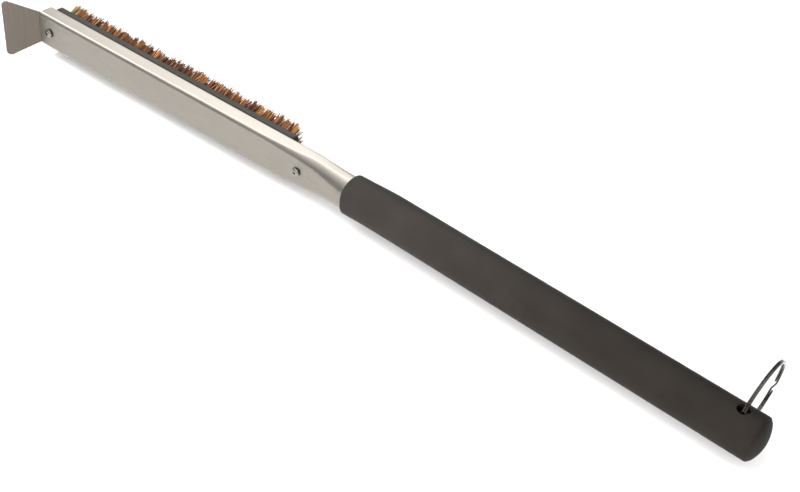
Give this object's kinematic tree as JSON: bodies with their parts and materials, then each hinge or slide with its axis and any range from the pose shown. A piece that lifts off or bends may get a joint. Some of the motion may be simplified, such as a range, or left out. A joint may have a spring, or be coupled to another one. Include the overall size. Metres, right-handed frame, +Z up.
{
  "type": "grill cleaning brush",
  "caption": "Long grill cleaning brush with a flattened steel head, a strip of stiff natural bristles, a flared bent scraper at the tip, a rubber grip and a hanging ring.",
  "frame": {"origin": "middle of the footprint of the whole brush, on the plane it stands on", "axes": "+X along the grip towards its closed end, +Y the side the bristles point to, +Z up"},
  "size_m": [0.5536, 0.084, 0.0487],
  "materials": {
    "tube_steel": "satin, grained along the tube",
    "blade_steel": "satin sheet, slightly darker",
    "block_plastic": "fine moulded texture",
    "screw_metal": "bright plated",
    "grip_rubber": "matte, fine grain",
    "ring_chrome": "bright",
    "bristle_fibre": "stiff brown plant fibre"
  },
  "bodies": {
    "brush": {"handle_tube": "tube_steel", "scraper_blade": "blade_steel", "brush_block": "block_plastic", "front_screw": "screw_metal", "rear_screw": "screw_metal", "grip_sleeve": "grip_rubber", "bristle_row_01": "bristle_fibre", "bristle_row_02": "bristle_fibre", "bristle_row_03": "bristle_fibre", "bristle_row_04": "bristle_fibre", "bristle_row_05": "bristle_fibre", "bristle_row_06": "bristle_fibre", "bristle_row_07": "bristle_fibre", "bristle_row_08": "bristle_fibre", "bristle_row_09": "bristle_fibre", "bristle_row_10": "bristle_fibre", "bristle_row_11": "bristle_fibre", "bristle_row_12": "bristle_fibre", "bristle_row_13": "bristle_fibre", "bristle_row_14": "bristle_fibre", "bristle_row_15": "bristle_fibre", "bristle_row_16": "bristle_fibre", "bristle_row_17": "bristle_fibre", "bristle_row_18": "bristle_fibre", "bristle_row_19": "bristle_fibre", "bristle_row_20": "bristle_fibre", "bristle_row_21": "bristle_fibre", "bristle_row_22": "bristle_fibre", "bristle_row_23": "bristle_fibre", "bristle_row_24": "bristle_fibre", "bristle_row_25": "bristle_fibre", "bristle_row_26": "bristle_fibre", "bristle_row_27": "bristle_fibre", "bristle_row_28": "bristle_fibre", "bristle_row_29": "bristle_fibre"},
    "ring": {"hang_ring": "ring_chrome"}
  },
  "joints": [
    {"name": "ring_swing", "type": "hinge", "parent": "brush", "child": "ring", "pos_m": [0.26098, -0.00296, 0.02186], "axis": [0, 0, 1], "range_deg": [-244, 64]}
  ]
}
